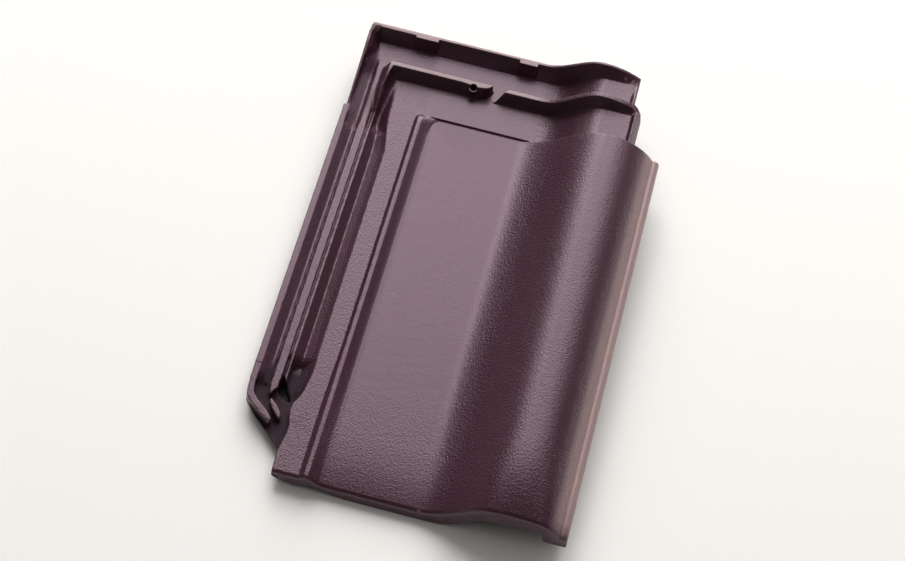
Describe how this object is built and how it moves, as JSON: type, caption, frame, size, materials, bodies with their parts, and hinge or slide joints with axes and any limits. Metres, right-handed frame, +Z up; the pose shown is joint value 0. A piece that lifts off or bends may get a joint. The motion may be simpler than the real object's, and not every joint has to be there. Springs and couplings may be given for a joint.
{
  "type": "interlocking clay roof tile",
  "caption": "Interlocking clay roof tile with a flat pan, one raised roll, a side lock and a double head lock, lying flat.",
  "frame": {"origin": "centre of the bounding box, at the ground the tile lies on", "axes": "+X across the tile from its side lock to its roll, +Y from its front edge to its head edge, +Z up"},
  "size_m": [0.27, 0.4314, 0.0704],
  "materials": {
    "clay": "satin dark maroon engobe"
  },
  "bodies": {
    "root": {"clay_roof_tile": "clay"}
  },
  "joints": []
}
